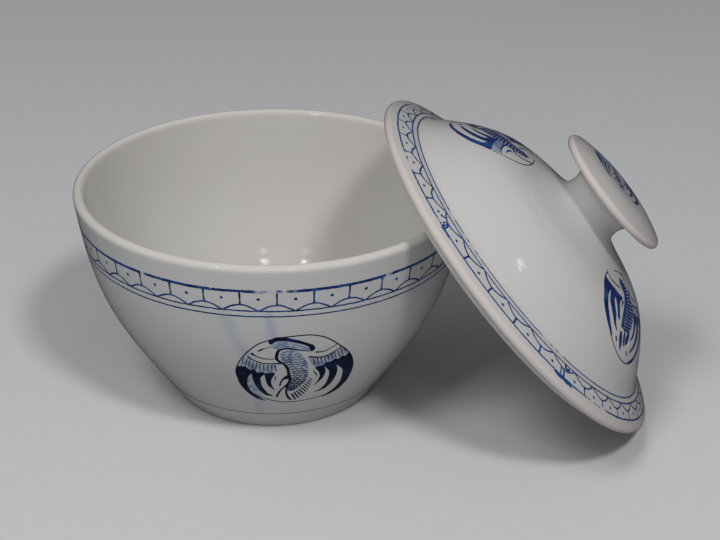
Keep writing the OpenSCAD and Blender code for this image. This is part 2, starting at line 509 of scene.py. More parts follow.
def thrown_bump(g, at):
    """Height in metres of the throwing rings, of the glaze's slight waviness and of its fine grain."""
    rings = g.join(at.r * RINGS_PER_METRE, at.z * RINGS_PER_METRE, at.turn * RING_DRIFT_PER_DEGREE)
    ring, wave, grain = g.noise(rings, 1, 1), g.noise(at.spot, 55), g.noise(at.spot, 900)
    return (ring - 0.5) * RING_BUMP + (wave - 0.5) * WAVE_BUMP + (grain - 0.5) * GRAIN_BUMP


def finish_surface(g, colour, rough, height, coat):
    bump = g.add("ShaderNodeBump", {"Strength": 1.0, "Distance": 1.0, "Height": height})
    surface = g.add("ShaderNodeBsdfPrincipled", {
        "Base Color": colour, "Roughness": rough, "Normal": bump,
        "Coat Weight": coat, "Coat Roughness": COAT_ROUGH, "IOR": GLAZE_IOR,
    })
    g.output("ShaderNodeOutputMaterial", "Surface", surface)


def finish_glaze(g, at, colour, duller=0.0):
    """The glaze's own gloss and unevenness under this colour; duller is added to its roughness."""
    rough = g.noise(at.spot, 60, 3) * GLAZE_ROUGH_SPREAD + GLAZE_ROUGH + duller
    finish_surface(g, colour, g.add("ShaderNodeClamp", {0: rough}), thrown_bump(g, at), GLAZE_COAT)


def specks(g, at, colour):
    """Fine iron specks and a slow clouding of the glaze."""
    cloud = g.noise(at.spot, 18, 3).smooth(0.35, 0.75)
    colour = g.blend(cloud * CLOUD_AMOUNT, colour, GLAZE_PINK)
    spots = g.spots(at.spot, 260)
    chance = g.add("ShaderNodeSeparateColor", {0: g.other(spots, 1)})
    dot = spots.smooth(0.16, 0.05) * chance.smooth(0.93, 0.96)
    return g.blend(dot * SPECK_AMOUNT, colour, SPECK)


def stippled_cells(g, at, colour, zone):
    """The fine screen dots that tint the band between the border's lines."""
    dots = g.spots(at.spot, 1150, 0.35).smooth(0.42, 0.18)
    faded = g.noise(at.spot, 40).smooth(0.3, 0.7) * 0.5 + 0.5
    return g.blend(dots * zone * faded * STIPPLE_AMOUNT, colour, STIPPLE)


def wall_middle(g, height):
    """Radius of the middle of the wall's thickness at this height; what is nearer the axis is inside."""
    radius = g.add("ShaderNodeFloatCurve", {"Factor": 1.0, "Value": height / BOWL_H})
    stops = [(0.0, 0.0), (0.125, 0.3)]
    for i in range(9):
        middle = (WALL.at(i / 8) + wall_in(i / 8)) / 2
        stops.append((middle.y / BOWL_H, middle.x / (2 * RIM_R)))
    mapping = radius.socket.node.mapping
    points = mapping.curves[0].points
    while len(points) < len(stops):
        points.new(0.5, 0.5)
    for point, stop in zip(points, sorted(stops)):
        point.location = stop
    mapping.update()
    return radius * (2 * RIM_R)


# Faint runs of cobalt down the bowl, seen beside the painted crane and guessed at the back: turn in degrees
# at RUN_LEVEL, slant in degrees a metre, half width in degrees, lowest and highest place, and strength.
RUNS = (
    (-98.6, -223, 2.3, 46 * MM, 67 * MM, 0.26),
    (-96.8, -223, 1.3, 44 * MM, 50 * MM, 0.4),
    (-87, -120, 1.9, 53 * MM, 67 * MM, 0.36),
    (-94, 0, 2.2, 10 * MM, 25 * MM, 0.26),
    (32, 90, 2.4, 40 * MM, 62 * MM, 0.2),
    (151, -60, 2.4, 30 * MM, 58 * MM, 0.2),
)
RUN_LEVEL, RUN_RAGGED, RUN_SOFT = 55 * MM, 3, 4 * MM
BOWL_STIPPLE, LID_STIPPLE, STIPPLE_SOFT = (67.4 * MM, 75.2 * MM), (67.4 * MM, 73.1 * MM), 0.15 * MM


def bowl_glaze():
    made, g = material("glaze_bowl")
    at = Round(g, False)
    inside = (wall_middle(g, at.z) - at.r).smooth(-0.3 * MM, 0.3 * MM) * at.z.smooth(9 * MM, 11 * MM)
    outside = 1 - inside
    colour = g.blend(inside, GLAZE_OUT, GLAZE_IN)
    lip = at.z.smooth(BOWL_H - 3.4 * MM, BOWL_H - 0.9 * MM)
    colour = specks(g, at, g.blend(lip * 0.85, colour, GLAZE_LIP))
    colour = stippled_cells(g, at, colour, (at.z + inside).band(*BOWL_STIPPLE, STIPPLE_SOFT))
    ragged = (g.noise(at.spot, 70, 3) - 0.5) * RUN_RAGGED
    for turn, slant, width, low, high, strength in RUNS:
        off = (at.turn - turn - (at.z - RUN_LEVEL) * slant).math("ABSOLUTE") + ragged
        run = off.smooth(width * 1.5, 0.2) * at.z.band(low, high, RUN_SOFT) * outside
        colour = g.blend(run * strength, colour, PALE_RUN)
    ring_in = FOOT_R - RING_W
    bare = at.z.smooth(0.5 * MM, 0.2 * MM) * at.r.band(ring_in - 0.7 * MM, FOOT_R + 0.8 * MM, 0.3 * MM)
    foot = at.z.smooth(FOOT_H + 0.5 * MM, FOOT_H - 0.8 * MM) * outside
    finish_glaze(g, at, g.blend(bare, colour, BARE_CLAY), foot * FOOT_DULLER + bare * BARE_DULLER)
    return made


def leaning_glaze(name, edge_r, pink, bordered):
    """The glaze of the lid or the knob, tinted pink within 2.8 mm of edge_r where it thins at the edge."""
    made, g = material(name)
    at = Round(g, True)
    edge = at.r.smooth(edge_r - 2.8 * MM, edge_r)
    colour = specks(g, at, g.blend(edge * pink, GLAZE_LID, GLAZE_PINK))
    if bordered:
        under = 1 - at.z.smooth(BRIM_T * 0.9, BRIM_T * 1.1)
        colour = stippled_cells(g, at, colour, (at.r - under).band(*LID_STIPPLE, STIPPLE_SOFT))
    finish_glaze(g, at, colour)
    return made


def ink(name, dark, thin, leaning, ground, depth, scale=170, worn_lines=()):
    """Cobalt under the glaze: dense in places and thin in others. Each of worn_lines is a line, by height
    on the bowl or radius on the lid in millimetres, and the turns near which it is worn to the ground."""
    made, g = material(name)
    at = Round(g, leaning)
    colour = g.blend(g.noise(at.spot, scale, 3).smooth(*depth), dark, thin)
    for low, high, worn in worn_lines:
        line = (at.r if leaning else at.z).band(low * MM, high * MM, 0.1 * MM)
        gaps = g.noise(at.spot, 300, 2, 0.6).smooth(0.68, 0.74)
        colour = g.blend(line * gaps * 0.8, colour, ground)
        patches = g.noise(at.spot, 420).smooth(0.36, 0.56)
        for turn, half in worn:
            near = (at.turn - turn).math("ABSOLUTE").smooth(half, half * 0.6)
            colour = g.blend(line * near * patches * 0.95, colour, ground)
    finish_glaze(g, at, colour)
    return made


# The clay bodies

bowl = turned_piece("bowl_body_glazed", bowl_section(), False, bowl_glaze(), BODY_TURN_STEPS)
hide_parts("bowl")
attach(bowl, "bowl_body")

lid_glaze = leaning_glaze("glaze_lid", LID_R - 0.4 * MM, 0.5, True)
lid = turned_piece("lid_dome_glazed", lid_section(), True, lid_glaze, BODY_TURN_STEPS)
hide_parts("lid")
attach(lid, "lid_body")

knob_glaze = leaning_glaze("glaze_knob", KNOB_R - 0.8 * MM, 0.6, False)
knob = turned_piece("lid_knob_glazed", knob_section(), True, knob_glaze, KNOB_TURN_STEPS)
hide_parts("knob")
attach(knob, "lid_body")


# Prints: thin blue shapes laid on the glaze
# Drawings are in hundredths of a roundel's radius.

FINEST_LINE, HATCH_LEAST, HATCH_WAVE = 0.6, 6, 1.7
PRINT_LIFT, PRINT_SINK = 0.03 * MM, 0.05 * MM
ROUNDEL_GRID, CROWN_GRID = 6, 8


def through(points, steps, closed=False):
    """A smooth run through points; a third number in a point is a width and is smoothed too."""
    count = len(points)
    run = []
    for i in range(count if closed else count - 1):
        near = [(i + k) % count if closed else min(max(i + k, 0), count - 1) for k in (-1, 0, 1, 2)]
        a, b, c, d = (Vector(points[k]) for k in near)
        linear, square, cube = c - a, 2 * a - 5 * b + 4 * c - d, 3 * b - a - 3 * c + d
        for j in range(steps):
            t = j / steps
            run.append((2 * b + linear * t + square * t * t + cube * t**3) / 2)
    return run if closed else run + [Vector(points[-1])]


def anticlockwise(outline):
    area = sum(a[0] * b[1] - a[1] * b[0] for a, b in zip(outline, outline[1:] + outline[:1]))
    return list(outline) if area > 0 else list(reversed(outline))


def patches(*outlines):
    """Filled shapes with smooth edges."""
    return [anticlockwise([(p.x, p.y) for p in through(points, 3, True)]) for points in outlines]


def outer_loop(corners):
    """The corners' convex loop: a tight turn of a brush would cross a plain one."""
    return anticlockwise([tuple(corners[i]) for i in convex_hull_2d(corners)])


def brush(points, steps=4, closed=False):
    """A brush line through (across, up, width) points, as a chain of four-sided pieces."""
    run = through(points, steps, closed)
    if closed:
        run.append(run[0])
    sides = []
    for i, p in enumerate(run):
        before = run[i - 1] if i else (run[-2] if closed else run[0])
        after = run[i + 1] if i < len(run) - 1 else (run[1] if closed else run[-1])
        across = left((after - before).to_2d().normalized()) * (max(p.z, FINEST_LINE) / 2)
        sides.append((p.to_2d() + across, p.to_2d() - across))
    return [outer_loop([*near, *far]) for near, far in zip(sides, sides[1:])]


def strokes(*lines):
    """Brush lines in the usual steps."""
    return [piece for line in lines for piece in brush(line)]


def even(points, count):
    """Count places at even shares of a smooth run through points."""
    run = through(points, 8)
    lengths = lengths_along(run)
    return [between(run, lengths, lengths[-1] * k / (count - 1))[0] for k in range(count)]


def bars(tops, ends, count, wide, narrow):
    """Short lines from one run to another, such as the rows of small feathers."""
    marks = []
    for k, (a, b) in enumerate(zip(even(tops, count), even(ends, count))):
        w = wide + (narrow - wide) * k / (count - 1)
        marks += brush([(*a, w), (*a.lerp(b, 0.5), w * 1.1), (*b, w * 0.8)], 2)
    return marks


def span_of(outline, up):
    """Where a level line enters and leaves an outline."""
    crossings = []
    for a, b in zip(outline, outline[1:] + outline[:1]):
        if (a[1] <= up) != (b[1] <= up):
            crossings.append(a[0] + (b[0] - a[0]) * (up - a[1]) / (b[1] - a[1]))
    return (min(crossings), max(crossings)) if crossings else None


def hatching(outline, top, bottom, rows, draw):
    """Rows of small waves across the bird's body, heavier towards its tail."""
    marks = []
    for row in range(rows):
        share = row / (rows - 1)
        up = top + (bottom - top) * share
        span = span_of(outline, up)
        if span is None or span[1] - span[0] < HATCH_LEAST:
            continue
        width = 1.6 + 3.2 * share**2.2
        bend = draw.uniform(0, 6.28)
        at = span[0] + 1.5
        while at < span[1] - 4:
            run = min(draw.uniform(14, 40) * (0.5 + share), span[1] - 1.0 - at)
            steps = max(3, int(run / 2.2))
            line = []
            for k in range(steps + 1):
                x = at + run * k / steps
                wave = HATCH_WAVE * math.sin(x * 0.7 + bend)
                line.append((x, up + wave, width * (0.6 if k in (0, steps) else 1.0)))
            marks += brush(line, 2)
            at += run + draw.uniform(1.5, 3.5) * (1.2 - share)
    return marks


def bowl_crane(draw):
    """The crane roundel of the bowl: its ink and its thin wash."""
    body = [
        (-30, 58), (-25, 63), (-14, 67), (-3, 64), (6, 51), (15, 34), (19, 14), (20, -6), (18, -25),
        (11, -40), (2, -52), (-10, -57), (-13, -45), (-11, -25), (-9, -12), (-11, 4), (-14, 19),
        (-22, 31), (-29, 43),
    ]
    ring = [
        (-101, 6), (-96, 36), (-85, 59), (-71, 77), (-57, 87), (-34, 95), (-8, 98), (17, 98), (37, 92),
        (51, 83), (66, 68), (83, 48), (92, 32), (98, 13), (100, -8), (97, -34), (90, -58), (72, -83),
        (47, -91), (18, -97), (-8, -98), (-28, -93), (-51, -81), (-66, -68), (-81, -52), (-93, -27),
    ]
    dark = brush([(x, y, 2.4) for x, y in ring], 5, True)
    dark += patches([
        (-50, 87), (-45, 93), (-37, 97), (-26, 97), (-13, 93), (2, 87), (16, 79), (24, 74), (28, 66),
        (26, 60), (22, 59), (19, 64), (17, 70), (7, 77), (-7, 83), (-20, 87), (-31, 88), (-39, 86),
        (-44, 81), (-48, 82),
    ])
    dark += strokes(
        [(21, 59, 1.5), (10, 62, 2.4), (-4, 66, 3.4), (-16, 70, 3.7), (-25, 69, 4), (-32, 66, 5.2),
         (-35, 56, 5.8), (-35, 45, 5.5), (-30, 37, 4.6), (-22, 29, 4.6), (-16, 17, 4.9), (-13, 1, 5.2),
         (-10, -17, 5.5), (-12, -30, 4.6), (-14, -47, 4), (-13, -66, 4), (-8, -82, 4.6),
         (-3, -91, 2.7)],
        [(-67, 64, 1.5), (-62, 67, 3.7), (-57, 71, 2.1)],
        [(-77, 59, 5.2), (-71, 53, 2.7), (-63, 48, 2.1), (-53, 45, 2.1), (-39, 44, 1.2)],
        [(-83, 51, 2.7), (-77, 44, 2.4), (-68, 38, 2.4), (-57, 33, 2.4), (-46, 32, 2.7),
         (-26, 32, 3.7)],
        [(29, 55, 3.7), (37, 54, 2.7), (46, 55, 2.1), (55, 60, 1.8), (66, 67, 1.2)],
        [(18, 45, 4), (28, 42, 3.7), (38, 40, 3.1), (48, 42, 2.4), (58, 47, 2.4), (75, 59, 1.8)],
    )
    dark += patches(
        [(-101, 6), (-99, 19), (-95, 23), (-91, 22), (-86, 23), (-81, 16), (-76, 12), (-75, 3),
         (-79, -5), (-81, -17), (-80, -34), (-76, -50), (-68, -65), (-57, -80), (-47, -91), (-61, -84),
         (-75, -68), (-87, -48), (-96, -25)],
        [(-75, 3), (-76, 12), (-71, 17), (-67, 8), (-62, 6), (-58, 9), (-54, 1), (-59, -9), (-59, -17),
         (-56, -35), (-49, -53), (-43, -64), (-35, -72), (-45, -71), (-54, -61), (-63, -45), (-69, -28),
         (-73, -11)],
        [(-54, 1), (-58, 9), (-51, 4), (-47, 6), (-42, 7), (-36, 4), (-40, -11), (-41, -24), (-38, -39),
         (-33, -52), (-39, -45), (-46, -34), (-50, -20), (-52, -8)],
        [(-12, 3), (-10, -9), (-13, -15), (-19, -16), (-23, -23), (-25, -38), (-27, -35), (-26, -23),
         (-22, -11), (-17, -4)],
    )
    dark += brush([(-10, -25, 4.6), (-16, -37, 3.7), (-22, -48, 3.4), (-26, -60, 3.7), (-29, -77, 4)])
    dark += patches(
        [(87, 38), (94, 31), (99, 13), (99, -8), (97, -33), (91, -56), (79, -77), (65, -89), (51, -94),
         (64, -79), (74, -65), (81, -44), (82, -19), (80, -7), (73, 4), (69, 10), (70, 19), (71, 26),
         (76, 33), (83, 31)],
        [(71, 26), (70, 19), (69, 10), (71, -1), (71, -19), (66, -40), (59, -56), (48, -67), (33, -71),
         (44, -63), (52, -49), (56, -30), (57, -12), (55, -2), (50, 7), (47, 14), (49, 23), (57, 23),
         (64, 29)],
        [(49, 23), (47, 14), (49, 4), (50, -6), (47, -22), (40, -35), (31, -45), (37, -33), (40, -21),
         (40, -11), (37, 0), (32, 8), (31, 13), (36, 16), (43, 16)],
    )
    dark += strokes(
        [(28, 4, 1.2), (33, -6, 2.4), (36, -16, 1.2)],
        [(-34, -6, 2.1), (-35, -13, 1.8), (-35, -20, 1.5)],
        [(-47, -2, 1.4), (-49, -14, 1.8)],
        [(-68, -14, 1.4), (-67, -30, 1.8)],
    )
    dark += bars([(-89, 47), (-65, 33), (-37, 27)], [(-92, 29), (-67, 14), (-34, 10)], 10, 1.8, 1.8)
    dark += bars([(78, 56), (51, 43), (26, 40)], [(84, 38), (53, 26), (30, 19)], 10, 1.8, 1.8)
    dark += bars([(-4, -67), (12, -44), (23, -18)], [(4, -91), (21, -65), (29, -27)], 10, 3.2, 1.8)
    dark += hatching([(p.x, p.y) for p in through(body, 3, True)], 61, -52, 18, draw)
    wash = patches(
        body,
        [(-58, 71), (-48, 76), (-39, 83), (-31, 87), (-18, 85), (3, 76), (17, 68), (21, 62), (10, 63),
         (-4, 68), (-16, 71), (-25, 71), (-32, 68), (-39, 71), (-48, 73), (-56, 68)],
        [(-83, 49), (-77, 43), (-68, 36), (-57, 31), (-46, 30), (-35, 29), (-36, 16), (-36, 6),
         (-42, 8), (-47, 7), (-51, 4), (-58, 10), (-62, 7), (-67, 9), (-71, 17), (-77, 13), (-81, 17),
         (-86, 23), (-91, 22), (-95, 24), (-91, 39)],
        [(76, 58), (87, 39), (83, 32), (76, 34), (71, 26), (63, 30), (57, 23), (49, 23), (43, 17),
         (36, 16), (31, 14), (24, 25), (19, 43), (28, 40), (38, 39), (48, 41), (58, 45), (68, 52)],
        [(-77, -1), (-74, -4), (-72, -22), (-63, -48), (-52, -67), (-59, -76), (-68, -64), (-76, -48),
         (-80, -34), (-81, -17)],
    )
    return dark, wash


def lid_crane():
    """The crane roundel of the lid: the same bird cut more plainly, with bars across its body."""
    ring = []
    for degrees in range(95, -244, -12):
        a = math.radians(degrees)
        flat = 8 * max(math.cos(a + math.radians(218)), 0) ** 4
        ring.append(((100 - flat) * math.cos(a), (98 - flat) * math.sin(a), 2.6))
    dark = brush(ring)
    dark += patches(
        [(-66, 61), (-61, 58), (-56, 52), (-64, 36), (-75, 24), (-83, 11), (-88, -8), (-86, -25),
         (-82, -40), (-75, -59), (-82, -56), (-91, -45), (-100, -27), (-102, -1), (-85, 37)],
        [(-60, 55), (-48, 50), (-40, 46), (-47, 29), (-57, 18), (-60, 2), (-59, -12), (-62, -28),
         (-57, -45), (-67, -37), (-73, -23), (-77, -4), (-77, 11), (-65, 33), (-66, 37)],
        [(-42, 48), (-28, 40), (-14, 36), (-20, 28), (-30, 24), (-37, 14), (-42, -1), (-46, -19),
         (-53, -14), (-51, 9), (-50, 22), (-49, 33)],
    )
    dark += strokes(
        [(-51, 82, 2.8), (-46, 75, 3), (-42, 66, 5.4), (-31, 62, 4.4), (-10, 57, 5.4)],
        [(-15, 27, 5), (-24, 20, 4.4), (-30, 11, 2.0)],
    )
    spine = [(16, 81), (5, 71), (7, 62), (9, 48), (1, 32), (-13, 12), (-27, -9), (-36, -32)]
    dark += brush([(x, y, 11) for x, y in spine])
    for x, y, drop, lean, wide in ((-41, -40, -37, 1, 13), (-24, -38, -30, -3, 9), (-2, -36, -28, -18, 14)):
        middle = (x + lean * 0.5, y + drop * 0.5, wide)
        dark += brush([(x, y, wide * 0.6), middle, (x + lean, y + drop, 3.0)])
    dark += bars(
        [(18, 77), (12, 57), (5, 34), (-14, 2), (-30, -33)],
        [(25, 74), (36, 56), (39, 32), (31, 4), (1, -34)], 16, 5.6, 5.6
    )
    dark += strokes(
        [(-60, -55, 5.4), (-57, -64, 5)],
        [(-8, -74, 5.6), (-5, -83, 5)],
    )
    # the far wing, lowered, with three long feathers
    dark += patches([
        (30, 8), (48, 3), (68, -3), (98, -11), (99, -24), (94, -36), (84, -32), (76, -22), (66, -14),
        (60, -24), (50, -20), (42, -12), (34, -8),
    ])
    dark += strokes(
        [(90, -24, 18), (86, -44, 17), (76, -60, 14), (60, -75, 11), (36, -88, 8), (6, -96, 4)],
        [(60, -10, 20), (58, -30, 17), (49, -46, 14), (34, -60, 10), (8, -75, 4)],
        [(38, -2, 16), (34, -20, 13), (26, -36, 9), (9, -50, 4)],
    )
    dark += bars([(38, 22), (62, 16), (90, 8)], [(33, 8), (62, 0), (92, -9)], 9, 1.6, 1.6)
    dark += strokes(
        [(31, 43, 3.4), (33, 31, 5.5), (42, 23, 6), (58, 18, 4.6), (76, 13, 3.4), (93, 12, 2.4)],
        [(52, 42, 7.0), (54, 36, 6.4), (63, 30, 4.4), (76, 25, 2.4)],
        [(29, 95, 4.6), (38, 81, 4.2), (45, 70, 4.2), (48, 56, 5.6), (44, 47, 6), (30, 45, 4)],
    )
    dark += patches([(7, 46), (1, 56), (4, 68), (12, 80), (18, 76), (18, 62), (14, 50)])
    wash = patches(
        [(18, 78), (30, 66), (37, 52), (40, 34), (36, 12), (24, -10), (4, -32), (-24, -40), (-30, -30),
         (-19, -6), (-8, 16), (4, 34), (11, 48), (11, 62)],
        [(97, -10), (67, -3), (31, 9), (39, 22), (62, 16), (91, 10)],
    )
    return dark, wash


def cut_sheet(wanted, cut_away, grid):
    """Triangles of the joined outlines in wanted, less those in cut_away, with extra points every grid."""
    points, loops = [], []
    for outline in wanted + cut_away:
        loops.append(list(range(len(points), len(points) + len(outline))))
        points += [Vector(p[:2]) for p in outline]
    if grid:
        low = [min(p[k] for o in wanted for p in o) for k in (0, 1)]
        high = [max(p[k] for o in wanted for p in o) for k in (0, 1)]
        across, up = (int((high[k] - low[k]) / grid) + 1 for k in (0, 1))
        points += [
            Vector((low[0] + grid * (i + 0.5 * (j % 2)), low[1] + grid * j))
            for i in range(across) for j in range(up)
        ]
    spots, _, triangles, _, _, sources = delaunay_2d_cdt(points, [], loops, 0, 1e-4, True)
    edge = len(wanted)
    kept = [
        tri for tri, source in zip(triangles, sources)
        if any(k < edge for k in source) and not any(k >= edge for k in source)
    ]
    return spots, kept


def slab(spots, triangles, place, open_at=None):
    """A thin closed solid over the triangles. place(across, up, lift) gives a spot and the surface's normal
    there, and no wall stands on an edge for which open_at is true."""
    used = sorted({i for tri in triangles for i in tri})
    number = {i: k for k, i in enumerate(used)}
    top = [place(spots[i].x, spots[i].y, PRINT_LIFT) for i in used]
    low = [place(spots[i].x, spots[i].y, -PRINT_SINK) for i in used]
    count = len(used)
    faces, normals, borders = [], [], {}
    for tri in triangles:
        over = [number[i] for i in tri]
        under = [i + count for i in reversed(over)]
        faces += [over, under]
        normals += [[top[i][1] for i in over], [-low[i - count][1] for i in under]]
        for i, j in zip(over, over[1:] + over[:1]):
            if borders.pop((j, i), None) is None:
                borders[(i, j)] = True
    for i, j in borders:
        if not (open_at and open_at(spots[used[i]], spots[used[j]])):
            faces.append([j, i, i + count, j + count])
            normals.append(None)
    return [spot for spot, _ in top + low], faces, normals


def shade_as_surface(obj, normals):
    """Gives each corner its surface's own normal; walls keep their face's."""
    mesh = obj.data
    mesh.shade_smooth()
    corners = []
    for face, given in zip(mesh.polygons, normals):
        corners += given if given else [face.normal.copy()] * face.loop_total
    mesh.normals_split_custom_set([tuple(n) for n in corners])


def print_piece(name, body, wanted, cut_away, place, grid, ink_used):
    spots, triangles = cut_sheet(wanted, cut_away, grid)
    points, faces, normals = slab(spots, triangles, place)
    obj = new_object(name, points, faces)
    shade_as_surface(obj, normals)
    obj.data.materials.append(ink_used)
    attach(obj, body)


# Borders: one printed cell, repeated round the rim by a geometry tree

CELL_W = 13 * MM
CELL_START = -0.25
CELL_COLUMNS = 32
SECTION_STEP = 0.25 * MM
DOT_W, DOT_H = 0.68, 0.6
PRINT_WOBBLE, PRINT_DRIFT = 0.5 * MM, 0.5 * MM


def border_cell(heights, line_w, top_w):
    """One cell in millimetres, from a quarter before its divider: two base lines, the top line, the arch,
    the divider and the dot."""
    base, foot, apex, dot, top = (h / MM for h in heights)
    cell_w = CELL_W / MM
    columns = [CELL_START + i / CELL_COLUMNS for i in range(CELL_COLUMNS + 1)]

    def band(curve, width):
        rows = []
        for share in columns:
            slope = (curve(share + 0.002) - curve(share - 0.002)) / (0.004 * cell_w)
            half = width / 2 * math.sqrt(1 + slope * slope)
            rows.append((share * cell_w, curve(share), half))
        return [
            [(x0, y0 - h0), (x1, y1 - h1), (x1, y1 + h1), (x0, y0 + h0)]
            for (x0, y0, h0), (x1, y1, h1) in zip(rows, rows[1:])
        ]

    shapes = band(lambda share: base, line_w * 0.95)
    shapes += band(lambda share: foot, line_w)
    shapes += band(lambda share: top, top_w)
    shapes += band(lambda share: foot + (apex - foot) * abs(math.cos(math.pi * share)), line_w * 1.1)
    divider = ((apex - 0.1, 2.0), (apex + 1.0, 1.2), (dot + 0.6, 1.1), (top, 1.7))
    shapes += brush([(0, up, line_w * share) for up, share in divider])
    eighths = [math.pi / 4 * k for k in range(8)]
    shapes.append([(cell_w / 2 + DOT_W * math.cos(a), dot + DOT_H * math.sin(a)) for a in eighths])
    return shapes


def border_tree():
    """Lays flat cells end to end, makes their lines uneven as a print's and wraps them on a turned skin."""
    g, given, ids = geometry_tree("printed_border", (
        ("Dividers", "Geometry", None),
        ("Cell", "Object", None),
        ("Section", "Object", None),
        ("Radius", "Float", 70 * MM),
        ("Side", "Float", 1.0),
        ("Wobble", "Float", 0.2 * MM),
        ("Drift", "Float", 0.4 * MM),
        ("Place", "Vector", (0, 0, 0)),
        ("Tilt", "Vector", (0, 0, 0)),
        ("Ink", "Material", None),
    ))
    dividers, cell, section, radius, side, wobble, drift, place, tilt, ink_used = given
    cell, section = (g.add("GeometryNodeObjectInfo", {"Object": o}, "Geometry") for o in (cell, section))
    count = g.shape("AttributeDomainSize", dividers) - 2
    row = g.add("GeometryNodeMeshLine", {"Count": count, "Start Location": (0, 0, 0), "Offset": (1, 0, 0)})
    repeated = g.add("GeometryNodeInstanceOnPoints", {"Points": row, "Instance": cell})
    joined = g.shape("MergeByDistance", g.shape("RealizeInstances", repeated), Distance=0.02 * MM)

    # x counts cells and y is length along the section, in metres; z is height above the skin
    cells, length, rise = g.split(g.add("GeometryNodeInputPosition"))
    slot = (cells + 1.0).math("FLOOR")
    before, after = (point_of(g, dividers, number)[0] for number in (slot, slot + 1.0))
    turn = before + (after - before) * (cells + 1.0 - slot)
    spot = g.polar(radius, turn, length)
    fine_turn, fine_length, _ = g.split(g.noise(spot, 800, out=1))
    turn = turn + (fine_turn - 0.5) * wobble / radius
    length = length + (fine_length - 0.5) * wobble + (g.noise(spot, 55) - 0.5) * drift

    # the section's points lie one step apart, so a length gives their number
    step = (length / SECTION_STEP).math("FLOOR")
    (r0, _, z0), (r1, _, z1) = (point_of(g, section, number) for number in (step, step + 1.0))
    part = length / SECTION_STEP - step
    out_r, out_z = (z1 - z0) / SECTION_STEP * side, (r0 - r1) / SECTION_STEP * side
    r, z = r0 + (r1 - r0) * part + out_r * rise, z0 + (z1 - z0) * part + out_z * rise
    named = {"Geometry": joined, "Name": "skin_normal", "Value": g.polar(out_r, turn, out_z)}
    kept = g.add("GeometryNodeStoreNamedAttribute", named, data_type="FLOAT_VECTOR")
    wrapped = g.shape("SetPosition", kept, Position=g.polar(r, turn, z))
    end_tree(g, g.shape("MergeByDistance", wrapped, Distance=0.002 * MM), place, tilt, ink_used)
    return g.tree, ids


BORDER = border_tree()


def at_cell_end(a, b):
    ends = (CELL_START * CELL_W / MM, (CELL_START + 1) * CELL_W / MM)
    return any(abs(a.x - end) < 1e-3 and abs(b.x - end) < 1e-3 for end in ends)


def flat_cell(x, y, rise):
    """The place in a cell laid flat: x counts cells and y is in metres."""
    return Vector((x * MM / CELL_W, y * MM, rise)), Vector((0, 0, 1))


def printed_border(name, body, skin, shapes, turns, ink_used, wobble=PRINT_WOBBLE):
    """A ring of cells: turns are the dividers' angles in degrees, one full turn in all."""
    points, faces, _ = slab(*cut_sheet(shapes, [], 0), flat_cell, at_cell_end)
    cell = new_object(name + "_cell", points, faces)
    steps = int(skin.lengths[-1] / SECTION_STEP)
    section_points = [skin.at_length(i * SECTION_STEP)[0] for i in range(steps + 1)]
    section = new_object(name + "_section", [(p.x, 0, p.y) for p in section_points])
    row = new_object(name, [(math.radians(t), 0, 0) for t in [turns[-2] - 360] + turns])
    obj = made_by_tree(row, BORDER, {
        "Cell": cell,
        "Section": section,
        "Radius": skin.at_length(shapes[0][0][1] * MM)[0].x,
        "Side": float(skin.side),
        "Wobble": wobble,
        "Drift": PRINT_DRIFT,
        "Ink": ink_used,
        **(LEANING_INPUTS if skin.place != UPRIGHT else {}),
    })
    bpy.data.objects.remove(cell)
    bpy.data.objects.remove(section)
    mesh = obj.data
    turned = skin.place.to_3x3()
    skin_normals = [turned @ Vector(entry.vector) for entry in mesh.attributes["skin_normal"].data]
    corner_normals = []
    for face in mesh.polygons:
        own = [skin_normals[i] for i in face.vertices]
        facing = face.normal.dot(own[0])
        lies_flat = abs(facing) > 0.7
        corner_normals.append([n * math.copysign(1, facing) for n in own] if lies_flat else None)
    mesh.attributes.remove(mesh.attributes["skin_normal"])
    shade_as_surface(obj, corner_normals)
    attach(obj, body)


# The decoration
# Heights on the bowl and radii on the lid are in millimetres, from the lower of the two base lines, the
# arch's foot, its top and the dot to the top line.

BOWL_BORDER, LID_BORDER = (64.9, 67.25, 69.9, 72.4, 75.6), (65.1, 67.3, 70.2, 71.2, 73.3)
BOWL_WORN = ((74.9, 76.4, ((-86.5, 6.5), (-125, 2), (-53.5, 1.2), (20, 5), (140, 7))),)
LID_WORN = (
    (72.7, 73.9, ((-159, 6), (-64.5, 7.5), (30, 5), (150, 6))),
    (64.6, 65.6, ((-138.5, 5), (-129, 6.5), (-86, 7), (10, 8), (110, 9))),
)
CRANE_INK = ink("ink_bowl_crane", NAVY, NAVY_THIN, False, GLAZE_OUT, (0.5, 0.75))
BORDER_INK = ink(
    "ink_bowl_border", COBALT_DARK, COBALT, False, GLAZE_OUT, (0.36, 0.6), 210, BOWL_WORN
)
BOWL_WASH = ink("ink_bowl_wash", WASH, WASH_PALE, False, GLAZE_OUT, (0.35, 0.62), 300)
LID_INK = ink("ink_lid_crane", COBALT_LID, COBALT, True, GLAZE_LID, (0.42, 0.72))
LID_BORDER_INK = ink("ink_lid_border", COBALT_LID, COBALT, True, GLAZE_LID, (0.3, 0.55), 210, LID_WORN)
LID_WASH = ink("ink_lid_wash", WASH, WASH_PALE, True, GLAZE_LID, (0.4, 0.66), 300)

BOWL_LINE, BOWL_TOP_LINE, LID_LINE, LID_TOP_LINE = 0.6, 1.15, 0.62, 0.68
